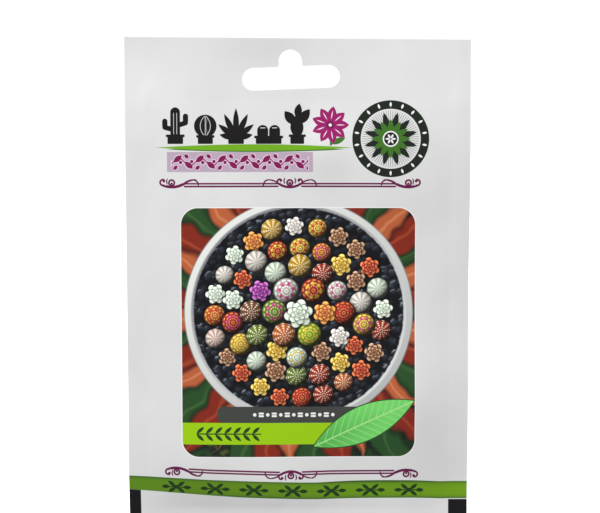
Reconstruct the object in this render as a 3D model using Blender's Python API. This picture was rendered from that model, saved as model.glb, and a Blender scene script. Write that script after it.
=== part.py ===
"""A hanging seed packet: two laminate webs heat-sealed together all round, a hang slot punched through
the header, and the loose seeds that lie in the crease above the bottom seal.

The frame: the packet hangs upright. +Z is up, its front looks along -Y, and +X is to the right of someone
who faces the front. The origin is where a peg carries the packet: the top of the slot's hump, on the plane
where the two webs meet. All sizes are in metres.
"""

import math
import random

import bmesh
import bpy
from mathutils import Euler, Matrix, Vector

# The packet. Its top edge was cut a little out of square, so it is higher at the left corner than at the
# right.
PACKET_WIDTH = 0.110
PACKET_HEIGHT = 0.160
TOP_EDGE_SKEW = 0.00056
WEB_THICKNESS = 0.00012
SIDE_SEAL = 0.0065
HEADER_SEAL = 0.0195
BOTTOM_SEAL = 0.0080
COLUMNS = 18
ROWS = 26

# The pouch between the seals: it rises fast above the bottom seal, is fullest low down and tapers to the
# header.
FRONT_BULGE = 0.0026
BACK_BULGE = 0.0020
SIDE_ROUNDING = 2.6
BOTTOM_RISE = 9.0
HEADER_TAPER = 1.7

# The hang slot: a long bar with a round hump on top, punched a little off centre and out of square.
SLOT_WIDTH = 0.0312
SLOT_HEIGHT = 0.0126
BAR_HEIGHT = 0.00725
HUMP_RADIUS = 0.00374
HUMP_FILLET = 0.0006
HUMP_FROM_TOP_EDGE = 0.0035
SLOT_OFF_CENTRE = 0.0024
SLOT_TILT = math.radians(2.2)
ARC_STEPS = 10

# The seeds.
SEED_COUNT = 24
SEED_SIZE = Vector((0.00064, 0.00050, 0.00056))
SEED_TAPER = 0.18
SEED_PITCH = 0.00092
SEED_ROWS = 3
SEED_NUDGE = 0.06
CREASE_WIDTH = 1.6 * SEED_SIZE.y

# The packet's edges in the frame.
LEFT = SLOT_OFF_CENTRE - PACKET_WIDTH / 2
RIGHT = SLOT_OFF_CENTRE + PACKET_WIDTH / 2
TOP = HUMP_FROM_TOP_EDGE
BOTTOM = TOP - PACKET_HEIGHT

FRONT, BACK = -1, 1


def clear_scene():
    for obj in list(bpy.data.objects):
        bpy.data.objects.remove(obj)


def finish(name, colour, roughness, metallic):
    """A plain surface in the colour of the real one."""
    material = bpy.data.materials.new(name)
    material.use_nodes = True
    surface = material.node_tree.nodes["Principled BSDF"]
    surface.inputs["Base Color"].default_value = (*colour, 1.0)
    surface.inputs["Roughness"].default_value = roughness
    surface.inputs["Metallic"].default_value = metallic
    return material


def add_object(name, bm, material=None):
    """Turns a bmesh into an object of that name."""
    mesh = bpy.data.meshes.new(name)
    bm.to_mesh(mesh)
    bm.free()
    if material:
        mesh.materials.append(material)
    obj = bpy.data.objects.new(name, mesh)
    bpy.context.scene.collection.objects.link(obj)
    return obj


def within(share):
    return min(max(share, 0.0), 1.0)


def fullness_across(share):
    """0 at either side seal and 1 midway between them."""
    return 1 - abs(2 * within(share) - 1) ** SIDE_ROUNDING


def fullness_up(share):
    """0 at the bottom seal and at the header, and fullest about a quarter of the way up."""
    return (1 - (1 - within(share)) ** BOTTOM_RISE) * (1 - within(share) ** HEADER_TAPER)


FULLEST_UP = max(fullness_up(step / 100) for step in range(101))


def pouch_depth(x, z, bulge):
    """How far the inside of a web stands off the sealing plane. It is exactly 0 all over the seals."""
    across = (x - LEFT - SIDE_SEAL) / (PACKET_WIDTH - 2 * SIDE_SEAL)
    up = (z - BOTTOM - BOTTOM_SEAL) / (PACKET_HEIGHT - HEADER_SEAL - BOTTOM_SEAL)
    return bulge * fullness_across(across) * fullness_up(up) / FULLEST_UP


def stations(start, end, first_seal, last_seal, count):
    """Grid lines from edge to edge: one along each seal's inner edge, and the rest evenly between them."""
    first, last = start + first_seal, end - last_seal
    inner = [first + (last - first) * i / count for i in range(count + 1)]
    return [start, *inner, end]


def slot_outline():
    """The slot's outline in its own X and Z, with the top of the hump at the origin, anticlockwise."""
    bar_radius = BAR_HEIGHT / 2
    end_reach = SLOT_WIDTH / 2 - bar_radius
    bar_middle = bar_radius - SLOT_HEIGHT
    fillet_x = HUMP_RADIUS + HUMP_FILLET
    fillet_z = BAR_HEIGHT - SLOT_HEIGHT + HUMP_FILLET
    # Each arc is its centre, its radius, and the angles in degrees that it runs between.
    arcs = (
        (end_reach, bar_middle, bar_radius, -90, 90),
        (fillet_x, fillet_z, HUMP_FILLET, 270, 180),
        (0.0, -HUMP_RADIUS, HUMP_RADIUS, 0, 180),
        (-fillet_x, fillet_z, HUMP_FILLET, 0, -90),
        (-end_reach, bar_middle, bar_radius, 90, 270),
    )
    points = []
    for x, z, radius, first, last in arcs:
        steps = ARC_STEPS if radius > HUMP_FILLET else ARC_STEPS // 3
        for step in range(steps + 1):
            angle = math.radians(first + (last - first) * step / steps)
            points.append((x + radius * math.cos(angle), z + radius * math.sin(angle)))
    return points


def slot_punch():
    """The punch that cuts the slot through both webs. It isn't part of the packet."""
    reach = 10 * WEB_THICKNESS
    bm = bmesh.new()
    front = bm.faces.new([bm.verts.new((x, -reach, z)) for x, z in slot_outline()])
    made = bmesh.ops.extrude_face_region(bm, geom=[front])["geom"]
    back = [v for v in made if isinstance(v, bmesh.types.BMVert)]
    bmesh.ops.translate(bm, verts=back, vec=(0, 2 * reach, 0))
    bmesh.ops.recalc_face_normals(bm, faces=bm.faces)
    punch = add_object("slot_punch", bm)
    punch.rotation_euler = Euler((0, -SLOT_TILT, 0))
    punch.hide_render = True
    punch.display_type = "WIRE"
    return punch


def web(name, side, bulge, punch, material):
    """One web: a sheet that is flat over the seals and stands out over the pouch, with the slot cut in it."""
    xs = stations(LEFT, RIGHT, SIDE_SEAL, SIDE_SEAL, COLUMNS)
    zs = stations(BOTTOM, TOP, BOTTOM_SEAL, HEADER_SEAL, ROWS)
    bm = bmesh.new()
    grid = [[bm.verts.new((x, side * pouch_depth(x, z, bulge), z)) for x in xs] for z in zs]
    for x, vert in zip(xs, grid[-1]):
        vert.co.z -= TOP_EDGE_SKEW * (x - SLOT_OFF_CENTRE) / (PACKET_WIDTH / 2)
    for low, high in zip(grid, grid[1:]):
        for i in range(len(xs) - 1):
            corners = [low[i], low[i + 1], high[i + 1], high[i]]
            # Wound so that the face looks outwards, away from the other web.
            bm.faces.new(corners if side == FRONT else corners[::-1])
    sheet = add_object(name, bm, material)

    thickness = sheet.modifiers.new("thickness", "SOLIDIFY")
    thickness.thickness = WEB_THICKNESS
    thickness.offset = 1.0
    cut = sheet.modifiers.new("hang_slot", "BOOLEAN")
    cut.object = punch
    cut.operation = "DIFFERENCE"
    cut.solver = "EXACT"


def seed_places():
    """Where each seed lies in the crease: short rows, one above the other, staggered like a small heap."""
    chance = random.Random(7)
    # The lowest row lies just above where the crease is wide enough for a seed to clear both webs.
    lowest = BOTTOM + BOTTOM_SEAL
    while pouch_depth(SLOT_OFF_CENTRE, lowest, FRONT_BULGE + BACK_BULGE) < CREASE_WIDTH:
        lowest += WEB_THICKNESS
    places = []
    nudge = SEED_NUDGE * SEED_PITCH
    row_rise = SEED_PITCH * math.sqrt(3) / 2
    longest_row = SEED_COUNT // SEED_ROWS + SEED_ROWS // 2
    for row in range(SEED_ROWS):
        in_row = longest_row - row
        for i in range(in_row):
            x = SLOT_OFF_CENTRE + (i - (in_row - 1) / 2) * SEED_PITCH
            z = lowest + SEED_SIZE.z / 2 + row * row_rise
            places.append((x + chance.uniform(-nudge, nudge), z + chance.uniform(-nudge, nudge)))
    return places


def seed(number, x, z, material):
    """One dust-fine seed, a slightly flattened egg, halfway between the two webs."""
    chance = random.Random(number)
    bm = bmesh.new()
    bmesh.ops.create_icosphere(bm, subdivisions=2, radius=0.5)
    for vert in bm.verts:
        vert.co = Vector(a * b for a, b in zip(vert.co, SEED_SIZE))
        vert.co *= 1 + SEED_TAPER * vert.co.x / SEED_SIZE.x
    lean = Matrix.Rotation(chance.uniform(0, math.pi), 4, "Y")
    bmesh.ops.transform(bm, matrix=lean, verts=bm.verts)
    grain = add_object(f"seed_{number:02d}", bm, material)
    for polygon in grain.data.polygons:
        polygon.use_smooth = True
    between = (pouch_depth(x, z, BACK_BULGE) - pouch_depth(x, z, FRONT_BULGE)) / 2
    grain.location = (x, between, z)


clear_scene()
front_film = finish("front_film", (0.74, 0.74, 0.75), 0.38, 0.15)
back_film = finish("back_film", (0.74, 0.74, 0.75), 0.38, 0.15)
seed_coat = finish("seed_coat", (0.28, 0.17, 0.09), 0.7, 0.0)

slot = slot_punch()
web("front_web", FRONT, FRONT_BULGE, slot, front_film)
web("back_web", BACK, BACK_BULGE, slot, back_film)
for count, (seed_x, seed_z) in enumerate(seed_places(), start=1):
    seed(count, seed_x, seed_z, seed_coat)
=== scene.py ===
"""A hanging seed packet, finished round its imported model: two sheets of pearly laminate film, the front one
printed, sealed together round a shallow pouch with a few dust-fine seeds in its lower crease.

The sections follow the making: the film is cut and shaped, its surface and its print are laid on it, and
the seeds go in. Print is laid out in millimetres, across from the left edge and down from the top edge.
"""

import functools
import math

import bpy
import numpy as np
from mathutils import Matrix, Vector
from mathutils.geometry import delaunay_2d_cdt


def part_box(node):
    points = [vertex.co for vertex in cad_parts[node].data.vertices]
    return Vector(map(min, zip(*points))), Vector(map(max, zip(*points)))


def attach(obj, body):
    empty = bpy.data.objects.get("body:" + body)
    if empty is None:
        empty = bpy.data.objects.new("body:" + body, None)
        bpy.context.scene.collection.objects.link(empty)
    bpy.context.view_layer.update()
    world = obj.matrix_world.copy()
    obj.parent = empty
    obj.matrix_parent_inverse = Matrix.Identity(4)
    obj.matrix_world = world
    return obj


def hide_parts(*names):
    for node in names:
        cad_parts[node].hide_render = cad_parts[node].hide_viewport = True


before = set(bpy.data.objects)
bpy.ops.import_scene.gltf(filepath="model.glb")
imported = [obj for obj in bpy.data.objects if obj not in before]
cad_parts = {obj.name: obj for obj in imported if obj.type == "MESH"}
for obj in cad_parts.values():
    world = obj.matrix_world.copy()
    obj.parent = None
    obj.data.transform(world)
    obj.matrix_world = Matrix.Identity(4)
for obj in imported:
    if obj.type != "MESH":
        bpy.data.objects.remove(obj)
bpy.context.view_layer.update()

# --------------------------------------------------------------------------------------------------
# The cut sheet. Each web is a flat sheet of laminate film, knife-cut to size, with a hang slot punched
# through its header: a long bar with a round hump on top. The slot is a little off centre, and both it and
# the top edge are a little out of square.

MM = 0.001
TOP_EDGE_SKEW = 0.56 * MM
FRONT, BACK = -1, 1
sheet_low, sheet_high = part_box("front_web")
LEFT, RIGHT = sheet_low.x, sheet_high.x
TOP, BOTTOM = sheet_high.z - TOP_EDGE_SKEW, sheet_low.z
WIDTH, HEIGHT = RIGHT - LEFT, TOP - BOTTOM
MIDDLE = (LEFT + RIGHT) / 2

GRID_COLUMNS, GRID_ROWS = 138, 200
SLOT_WIDTH, SLOT_HEIGHT = 31.2 * MM, 12.6 * MM
BAR_HEIGHT = 7.25 * MM
HUMP_RADIUS, HUMP_FILLET = 3.74 * MM, 0.6 * MM
SLOT_TILT = math.radians(2.2)
SLOT_STEP = 0.5 * MM
SLOT_CLEARANCE = 0.9 * SLOT_STEP
FEWEST_STEPS = 4
WELD = 1e-7


def slot_outline():
    """The slot's outline in X and Z, anticlockwise, with the top of the hump at the origin."""
    bar_radius = BAR_HEIGHT / 2
    end_reach = SLOT_WIDTH / 2 - bar_radius
    bar_middle = bar_radius - SLOT_HEIGHT
    fillet_x = HUMP_RADIUS + HUMP_FILLET
    fillet_z = BAR_HEIGHT - SLOT_HEIGHT + HUMP_FILLET
    # Each arc is its centre, its radius, and the angles in degrees that it runs between.
    arcs = (
        (end_reach, bar_middle, bar_radius, -90, 90),
        (fillet_x, fillet_z, HUMP_FILLET, 270, 180),
        (0.0, -HUMP_RADIUS, HUMP_RADIUS, 0, 180),
        (-fillet_x, fillet_z, HUMP_FILLET, 0, -90),
        (-end_reach, bar_middle, bar_radius, 90, 270),
    )
    corners = []
    for x, z, radius, first, last in arcs:
        steps = max(FEWEST_STEPS, round(radius * math.radians(abs(last - first)) / SLOT_STEP))
        for angle in np.radians(np.linspace(first, last, steps + 1)):
            corners.append((x + radius * math.cos(angle), z + radius * math.sin(angle)))
    outline = []
    for start, end in zip(corners, corners[1:] + corners[:1]):
        steps = max(1, round(math.dist(start, end) / SLOT_STEP))
        outline += [np.add(start, np.subtract(end, start) * i / steps) for i in range(steps)]
    return np.array(outline) @ np.array(Matrix.Rotation(SLOT_TILT, 2)).T


def inside(points, outline):
    """True for each point that the closed outline goes round."""
    within = np.zeros(len(points), bool)
    for (x1, z1), (x2, z2) in zip(outline, np.roll(outline, -1, axis=0)):
        crosses = (z1 > points[:, 1]) != (z2 > points[:, 1])
        if z1 != z2:
            within ^= crosses & (points[:, 0] < x1 + (points[:, 1] - z1) * (x2 - x1) / (z2 - z1))
    return within


def closed_loop(first, count):
    """The edges that join this many points in a ring."""
    return [(first + i, first + (i + 1) % count) for i in range(count)]


def cut_sheet():
    """The flat sheet's points, in X and Z, and its triangles, anticlockwise from the front."""
    columns = np.linspace(0, 1, GRID_COLUMNS + 1)
    between = (columns[1:] + columns[:-1]) / 2
    heights = np.linspace(0, 1, GRID_ROWS + 1)
    edge = [(u, 0.0) for u in columns] + [(1.0, v) for v in heights[1:]]
    edge += [(u, 1.0) for u in columns[-2::-1]] + [(0.0, v) for v in heights[-2:0:-1]]
    rows = [columns[1:-1] if row % 2 else between for row in range(GRID_ROWS - 1)]
    middle = [(u, v) for row, v in zip(rows, heights[1:-1]) for u in row]
    points = np.array(edge + middle) * (WIDTH, HEIGHT) + (LEFT, BOTTOM)
    near_top = np.clip(points[:, 1] / TOP, 0, 1)
    points[:, 1] -= TOP_EDGE_SKEW * near_top * (points[:, 0] - MIDDLE) / (WIDTH / 2)

    outline = slot_outline()
    reach = np.full(len(points), np.inf)
    for corner in outline:
        reach = np.minimum(reach, np.hypot(*(points - corner).T))
    points = points[(reach > SLOT_CLEARANCE) & ~inside(points, outline)]

    cuts = closed_loop(0, len(edge)) + closed_loop(len(points), len(outline))
    flat = [Vector(p) for p in np.vstack([points, outline])]
    flat, _, triangles, *_ = delaunay_2d_cdt(flat, cuts, [], 1, WELD)
    flat, triangles = np.array(flat), np.array(triangles)
    return flat, triangles[~inside(flat[triangles].mean(axis=1), outline)]


def add_object(name, data):
    """Puts a new object in the scene."""
    added = bpy.data.objects.new(name, data)
    bpy.context.scene.collection.objects.link(added)
    return added


def flat_web(name, side):
    """A flat sheet in the sealing plane, facing outwards."""
    flat, triangles = cut_sheet()
    if side == BACK:
        triangles = triangles[:, ::-1]
    mesh = bpy.data.meshes.new(name)
    mesh.from_pydata(np.insert(flat, 1, 0.0, axis=1), [], triangles)
    return add_object(name, mesh)


# --------------------------------------------------------------------------------------------------
# The pouch. Heat seals join the two webs along both sides, the header and the foot. Between them the film
# stands out over the contents, fullest low down, with the soft dents of a thin film and small puckers along
# the seals.

FILM = 0.12 * MM
SIDE_SEAL, HEADER_SEAL, FOOT_SEAL = 6.5 * MM, 19.5 * MM, 8.0 * MM
SIDE_ROUNDING, FOOT_RISE, HEADER_TAPER = 2.6, 9.0, 1.7
FRONT_BULGE, BACK_BULGE = 2.6 * MM, 2.0 * MM
RIPPLE, BROAD_RIPPLE, FINE_RIPPLE, FINE_SHARE = 1.0 * MM, 55 * MM, 21 * MM, 0.50
PUCKER, PUCKER_LENGTH, PUCKER_REACH = 0.30 * MM, 8.5 * MM, 1.7 * SIDE_SEAL
DENT, DENT_LENGTH = 0.35, 26 * MM
FRONT_DENTS, BACK_DENTS = 2.0, 6.0
SKIN_WELD = 0.05 * FILM
SWELLS = (  # Each in mm: across, down, its reach across and down, and how far it bows back.
    (99.6, 35.5, 26, 25, -2.8),
    (94.6, 115.5, 15, 15, -1.5),
    (4.6, 5.5, 15, 15, 1.5),
    (74.6, 75.5, 25, 25, 1.5),
    (104.6, 145.5, 15, 15, 1.5),
    (44.6, -4.5, 18, 9, -1.5),
    (64.6, 35.5, 9, 9, -1.5),
    (114.6, 85.5, 9, 18, 1.5),
    (94.6, 125.5, 15, 35, -1.2),
    (14.6, 135.5, 35, 15, -1.2),
    (44.6, 145.5, 18, 9, -1.2),
    (19.6, 155.5, 24, 9, 2.1),
)


def fullness_up(rise):
    """How full the pouch is by this share of its height: 0 at the foot seal and at the header."""
    return (1 - (1 - rise) ** FOOT_RISE) * (1 - rise**HEADER_TAPER)


FULLEST = max(fullness_up(share) for share in np.linspace(0, 1, 101))


def arithmetic(operation, reflected=False):
    """A method that works this out with a Math node, for a wire and another wire or a number."""
    if reflected:
        return lambda wire, other: wire.bench.math(operation, other, wire)
    return lambda wire, other: wire.bench.math(operation, wire, other)


class Wire:
    """An output socket in a node tree. Arithmetic on wires adds the Math nodes that work it out."""

    def __init__(self, bench, socket):
        self.bench, self.socket = bench, socket

    __add__ = __radd__ = arithmetic("ADD")
    __mul__ = __rmul__ = arithmetic("MULTIPLY")
    __sub__, __rsub__ = arithmetic("SUBTRACT"), arithmetic("SUBTRACT", reflected=True)
    __truediv__, __rtruediv__ = arithmetic("DIVIDE"), arithmetic("DIVIDE", reflected=True)
    __pow__ = arithmetic("POWER")

    def __neg__(self):
        return self * -1.0

    def __abs__(self):
        return self.math("ABSOLUTE")

    def of(self, name):
        """Another output of the same node."""
        return Wire(self.bench, pick(self.socket.node.outputs, name))

    def x(self):
        """The vector's X, from a node that also gives its Y and Z."""
        return self.bench.node("ShaderNodeSeparateXYZ", None, {0: self})

    def red(self):
        """The colour's Red, from a node that also gives its Green and Blue."""
        return self.bench.node("ShaderNodeSeparateColor", None, {0: self})

    def math(self, operation, *others):
        return self.bench.math(operation, self, *others)

    def vector(self, operation, *others, out="Vector"):
        """Vector Math on this wire. Distances, lengths and dot products come out as a Value."""
        sockets = dict(enumerate((self, *others)))
        return self.bench.node("ShaderNodeVectorMath", {"operation": operation}, sockets, out)

    def scaled(self, amount):
        return self.bench.node("ShaderNodeVectorMath", {"operation": "SCALE"}, {0: self, "Scale": amount})

    def distance(self, other):
        return self.vector("DISTANCE", other, out="Value")

    def dot(self, other):
        return self.vector("DOT_PRODUCT", other, out="Value")

    def length(self):
        return self.vector("LENGTH", out="Value")

    def clamped(self):
        """Held between 0 and 1, by a node of its own: a Math node's own clamp overfills a long shader."""
        return self.bench.node("ShaderNodeClamp", None, {"Value": self})


def pick(sockets, key):
    """A node's socket by its place, identifier or name."""
    if isinstance(key, int):
        return sockets[key]
    return next((s for s in sockets if s.identifier == key), None) or sockets[key]


def opaque(colour):
    """A colour as a socket takes it."""
    return (*colour, 1) if isinstance(colour, tuple) else colour


class Bench:
    """A node tree while it is being made."""

    def __init__(self, tree):
        self.tree = tree

    def node(self, kind, settings=None, sockets=None, out=0):
        """Adds a node: its type, its settings, then what its sockets hold. Returns one of its outputs."""
        made = self.tree.nodes.new(kind)
        for name, value in (settings or {}).items():
            if name == "stops":
                set_stops(made.color_ramp, value)
            else:
                setattr(made, name, value)
        self.fill(made, sockets or {})
        return Wire(self, pick(made.outputs, out)) if made.outputs else made

    def fill(self, node, sockets):
        """Links a node's sockets to wires, or gives them their values."""
        for key, value in sockets.items():
            if isinstance(value, Wire):
                self.tree.links.new(value.socket, pick(node.inputs, key))
            else:
                pick(node.inputs, key).default_value = value

    def math(self, operation, *values):
        return self.node("ShaderNodeMath", {"operation": operation}, dict(enumerate(values)))

    def mix(self, under, over, amount, clamp=True):
        """One colour laid over another."""
        sockets = {"A_Color": opaque(under), "B_Color": opaque(over), "Factor_Float": amount}
        settings = {"data_type": "RGBA", "clamp_factor": clamp}
        return self.node("ShaderNodeMix", settings, sockets, "Result_Color")

    def point(self, x=0.0, y=0.0, z=0.0):
        return self.node("ShaderNodeCombineXYZ", None, {"X": x, "Y": y, "Z": z})


def set_stops(ramp, stops):
    """Gives a colour ramp its stops, each a place and a colour."""
    while len(ramp.elements) > 1:
        ramp.elements.remove(ramp.elements[-1])
    for i, (place, colour) in enumerate(stops):
        stop = ramp.elements.new(place) if i else ramp.elements[0]
        stop.position, stop.color = place, opaque(colour)


def new_group(name, kind, inputs, outputs):
    """A new node group, from the names of its inputs and outputs and the kind of each."""
    tree = bpy.data.node_groups.new(name, kind)
    for in_out, sockets in (("INPUT", inputs), ("OUTPUT", outputs)):
        for socket, value in sockets.items():
            tree.interface.new_socket(socket, in_out=in_out, socket_type="NodeSocket" + value)
    return Bench(tree)


def surfaced(b, shape, surface):
    """Ends a Geometry Nodes tree with real geometry that wears its material."""
    shape = b.node("GeometryNodeRealizeInstances", None, {0: shape})
    shape = b.node("GeometryNodeSetMaterial", None, {"Geometry": shape, "Material": surface})
    b.node("NodeGroupOutput", None, {0: shape})
    return b.tree


def pouch_tree():
    """Shapes a flat web: ripples both alike, fills the pouch to one side and gives the film thickness."""
    sizes = dict.fromkeys(("Side", "Bulge", "Film", "Ripple", "Pucker", "Dent", "Dent seed"), "Float")
    inputs = {"Geometry": "Geometry", **sizes, "Surface": "Material"}
    b = new_group("fill_the_pouch", "GeometryNodeTree", inputs, {"Geometry": "Geometry"})
    given = b.node("NodeGroupInput")
    place = b.node("GeometryNodeInputPosition")
    across = place.x()
    up = across.of("Z")

    # How full the pouch is: 0 all over the seals.
    share = ((across - (LEFT + SIDE_SEAL)) / (WIDTH - 2 * SIDE_SEAL)).clamped()
    full_across = 1 - abs(share * 2 - 1) ** SIDE_ROUNDING
    rise = ((up - (BOTTOM + FOOT_SEAL)) / (HEIGHT - HEADER_SEAL - FOOT_SEAL)).clamped()
    fullness = full_across * fullness_up(rise) / FULLEST

    def ripples(length, detail, seed):
        sockets = {"Vector": place, "W": seed, "Scale": 1 / length, "Detail": detail, "Roughness": 0.45}
        return b.node("ShaderNodeTexNoise", {"noise_dimensions": "4D"}, sockets) - 0.5

    wave = given.of("Ripple")
    wave = wave * (ripples(BROAD_RIPPLE, 1.0, 3.0) + FINE_SHARE * ripples(FINE_RIPPLE, 0.0, 8.0))
    for from_left, from_top, reach_across, reach_down, height in SWELLS:
        aside = (across - (LEFT + from_left * MM)) / (reach_across * MM)
        above = (up - (TOP - from_top * MM)) / (reach_down * MM)
        wave = wave + height * MM * (-(aside * aside + above * above)).math("EXPONENT")
    to_side = b.math("MINIMUM", across - LEFT, RIGHT - across)
    beside_seal = (1 - abs(to_side - SIDE_SEAL) / PUCKER_REACH).clamped()
    pucker = given.of("Pucker") * beside_seal**2 * ripples(PUCKER_LENGTH, 0.0, 5.0)
    dent = given.of("Dent") * ripples(DENT_LENGTH, 1.5, given.of("Dent seed"))
    stand_off = given.of("Bulge") * fullness * (1 + dent)
    moved = b.point(y=wave + pucker + given.of("Side") * stand_off)
    shaped = b.node("GeometryNodeSetPosition", None, {"Geometry": given, "Offset": moved})

    sockets = {"Mesh": shaped, "Offset Scale": given.of("Film"), "Individual": False}
    outer = b.node("GeometryNodeExtrudeMesh", {"mode": "FACES"}, sockets)
    store = {"data_type": "BOOLEAN", "domain": "FACE"}
    sockets = {"Geometry": outer, "Name": "outer", "Value": outer.of("Top")}
    outer = b.node("GeometryNodeStoreNamedAttribute", store, sockets)
    inner = b.node("GeometryNodeFlipFaces", None, {0: shaped})
    both = b.node("GeometryNodeJoinGeometry")
    for skin in (inner, outer):
        b.tree.links.new(skin.socket, both.socket.node.inputs[0])
    whole = b.node("GeometryNodeMergeByDistance", None, {"Geometry": both, "Distance": SKIN_WELD})
    return surfaced(b, whole, given.of("Surface"))


def applied(piece):
    """Turns what the piece's modifiers make into its plain mesh."""
    graph = bpy.context.evaluated_depsgraph_get()
    made = bpy.data.meshes.new_from_object(piece.evaluated_get(graph), depsgraph=graph)
    while None in made.materials[:]:
        made.materials.pop(index=made.materials[:].index(None))
    piece.modifiers.clear()
    piece.data = made
    made.name = piece.name


def run_tree(piece, tree, **values):
    """Runs a Geometry Nodes tree on a piece with these inputs, named with _ for a space."""
    modifier = piece.modifiers.new(tree.name, "NODES")
    modifier.node_group = tree
    for socket in tree.interface.items_tree:
        name = socket.name.replace(" ", "_")
        if socket.in_out == "INPUT" and name in values:
            modifier[socket.identifier] = values[name]
    applied(piece)


# --------------------------------------------------------------------------------------------------
# The film's surface: a pearly, pale grey laminate with a satin sheen. Its colour darkens a little in soft
# clouds and streaks of painted shade, which stand in for the shading of the film's slight waviness, and its
# skin has the fine orange peel of a coated film, pressed flatter along the side seals. Ink hides the pearl.

FILM_PEARL, FILM_CLOUD_SHADE = (0.725, 0.727, 0.727), (0.680, 0.684, 0.682)
CLOUD_LENGTH, CLOUD_CONTRAST, CLOUD_LEVEL = 27.0, 2.3, 1.06
STREAK_LENGTH, STREAK_STRETCH, STREAK_SHARE = 8.0, 0.22, 0.35
FILM_ROUGHNESS, PEEL_ROUGHNESS, SEAL_ROUGHNESS = 0.38, 0.10, 0.05
FILM_METALLIC, FILM_GLOSS = 0.22, 0.16
PEEL_LENGTH, PEEL_HEIGHT, PEEL_LOST_IN_SEAL = 1.1 * MM, 0.003 * MM, 0.6
CUT_EDGE_REACH, CUT_EDGE_DEPTH, CUT_EDGE_CRISPNESS, SEAL_CRISPNESS = 1.5, 0.025 * MM, 8, 2
INK_EDGE = 0.05


class Film(Bench):
    """The node tree of a printed film: its colour so far, how bare it still is, and its millimetres."""

    def __init__(self, name):
        self.material = bpy.data.materials.new(name)
        self.material.use_nodes = True
        super().__init__(self.material.node_tree)
        self.place = self.node("ShaderNodeTexCoord", None, None, "Object")
        x = self.place.x()
        self.across = x / MM - LEFT / MM
        self.down = TOP / MM - x.of("Z") / MM
        # Painted shade: the bare film's colour darkens in soft clouds and streaks, standing in for the
        # shading of its waviness.
        clouds = self.noise(self.spot(), CLOUD_LENGTH, 3.0)
        streaks = self.noise(self.spot(down=self.down * STREAK_STRETCH), STREAK_LENGTH)
        cloud_shade = ((clouds + STREAK_SHARE * streaks) * CLOUD_CONTRAST - CLOUD_LEVEL).clamped()
        self.colour = self.mix(FILM_PEARL, FILM_CLOUD_SHADE, cloud_shade)
        self.bare = 1.0

    def spot(self, across=None, down=None):
        return self.point(self.across if across is None else across, self.down if down is None else down)

    def stirred(self, place, length, reach):
        """A place that soft noise moves about, by up to half this reach each way."""
        stir = self.noise(place, length, 1.0).of("Color").red()
        return place.vector("ADD", self.point((stir - 0.5) * reach, (stir.of("Green") - 0.5) * reach))

    def noise(self, place, length, detail=2.0, roughness=0.5):
        sockets = {"Vector": place, "Scale": 1 / length, "Detail": detail, "Roughness": roughness}
        return self.node("ShaderNodeTexNoise", None, sockets)

    def lay(self, under, over, shape, edge=INK_EDGE):
        """One colour over another inside a shape, whose soft edge has this half width."""
        return self.mix(under, over, self.cover(shape, edge))

    def cover(self, shape, edge=INK_EDGE):
        """1 inside a shape and 0 outside."""
        return self.math("MULTIPLY_ADD", shape, -0.5 / edge, 0.5).clamped()

    def ink(self, colour, shape):
        """Prints on the film."""
        cover = self.cover(shape)
        self.colour = self.mix(self.colour, colour, cover)
        self.bare = (1 - cover) * self.bare

    def finish(self):
        """Gives the film its sheen and skin."""
        edge = self.math("MINIMUM", self.across, WIDTH / MM - self.across)
        in_seal = ((SIDE_SEAL / MM - edge) * SEAL_CRISPNESS).clamped()
        pressed = ((CUT_EDGE_REACH - edge) * CUT_EDGE_CRISPNESS).clamped()
        peel = self.noise(self.place, PEEL_LENGTH, 2.0, 0.6)
        rough = FILM_ROUGHNESS + PEEL_ROUGHNESS * (peel - 0.5) + SEAL_ROUGHNESS * in_seal
        height = (peel * (1 - PEEL_LOST_IN_SEAL * in_seal)) * PEEL_HEIGHT - pressed * CUT_EDGE_DEPTH
        skin = self.node("ShaderNodeBump", None, {"Strength": 1.0, "Distance": 1.0, "Height": height})
        surface = {"Base Color": self.colour, "Roughness": rough, "Normal": skin,
                   "Metallic": self.bare * FILM_METALLIC, "Specular IOR Level": FILM_GLOSS}
        self.fill(self.tree.nodes["Principled BSDF"], surface)
        return self.material


PLAIN = Film("plain_film").finish()

# --------------------------------------------------------------------------------------------------
# The print's tools: shapes measured as signed distances in millimetres, below 0 inside. They are drawn as a
# printer's plate would be, from bars, discs, arcs and leaves.


def disc(spot, centre, radius):
    return spot.distance((*centre, 0)) - radius


def ring(spot, centre, radius, half_width):
    return abs(disc(spot, centre, radius)) - half_width


def bar(spot, start, end, half_width):
    """A straight stroke with round ends."""
    run = np.subtract(end, start)
    along = run / (run @ run)
    share = spot.vector("SUBTRACT", (*start, 0)).dot((*along, 0)).clamped()
    settings, sockets = {"operation": "SCALE"}, {0: (*run, 0), "Scale": share}
    nearest = spot.bench.node("ShaderNodeVectorMath", settings, sockets)
    return spot.vector("SUBTRACT", (*start, 0)).distance(nearest) - half_width


def plate(spot, centre, half_size, corner):
    """A rectangle with round corners."""
    inset = tuple(h - corner for h in half_size)
    past = spot.vector("SUBTRACT", (*centre, 0)).vector("ABSOLUTE").vector("SUBTRACT", (*inset, 0))
    return past.vector("MAXIMUM", (0, 0, 0)).length() - corner


def arc(spot, centre, radius, facing, half_turn, half_width):
    """A curved stroke: the stretch of a ring within half_turn degrees of the way that it faces."""
    way = (math.cos(math.radians(facing)), math.sin(math.radians(facing)))
    chord = np.dot(centre, way) + radius * math.cos(math.radians(half_turn))
    return shared(ring(spot, centre, radius, half_width), chord - spot.dot((*way, 0)))


def leaf(spot, root, tip, half_width):
    """A blade that is pointed at both ends."""
    run = np.subtract(tip, root)
    length = math.hypot(*run)
    along, beside = run / length**2, np.array((-run[1], run[0])) / length
    share = spot.dot((*along, 0)) - float(along @ root)
    off = abs(spot.dot((*beside, 0)) - float(beside @ root))
    return off - share * (1 - share) * (4 * half_width)


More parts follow.
